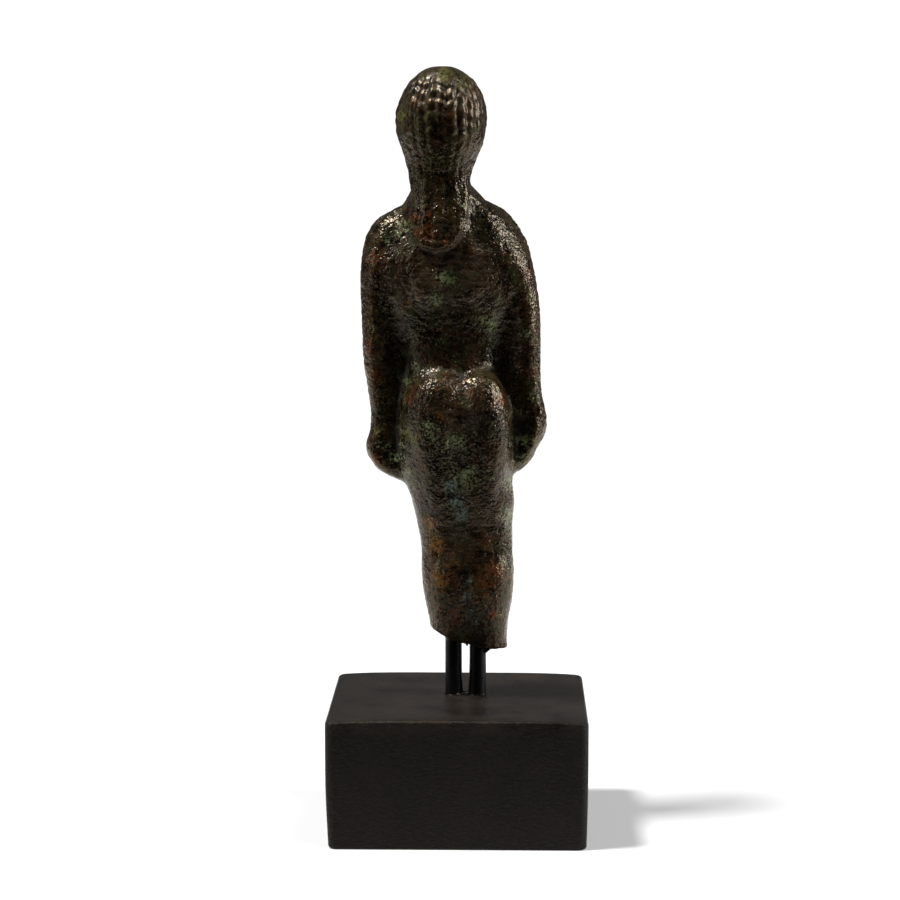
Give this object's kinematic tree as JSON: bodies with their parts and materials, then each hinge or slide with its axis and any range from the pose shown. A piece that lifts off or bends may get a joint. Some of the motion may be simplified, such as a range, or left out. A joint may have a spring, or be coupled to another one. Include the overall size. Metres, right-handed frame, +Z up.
{
  "type": "bronze statuette on a stand",
  "caption": "Small archaic bronze youth, standing with arms at the sides and crimped hair down the nape, broken at the shins and held by upright pins in a black block.",
  "frame": {"origin": "middle of the block's underside", "axes": "+Z up; the figure faces +Y and shows its back towards -Y; its left arm is on the -X side"},
  "size_m": [0.0508, 0.0444, 0.1501],
  "materials": {
    "figure": "dark pitted bronze patina with worn brown and pale green spots",
    "block": "matt black paint with a faint grain",
    "pin_left": "satin black",
    "pin_right": "satin black"
  },
  "bodies": {
    "root": {"figure": "figure", "block": "block", "pin_left": "pin_left", "pin_right": "pin_right"}
  },
  "joints": []
}
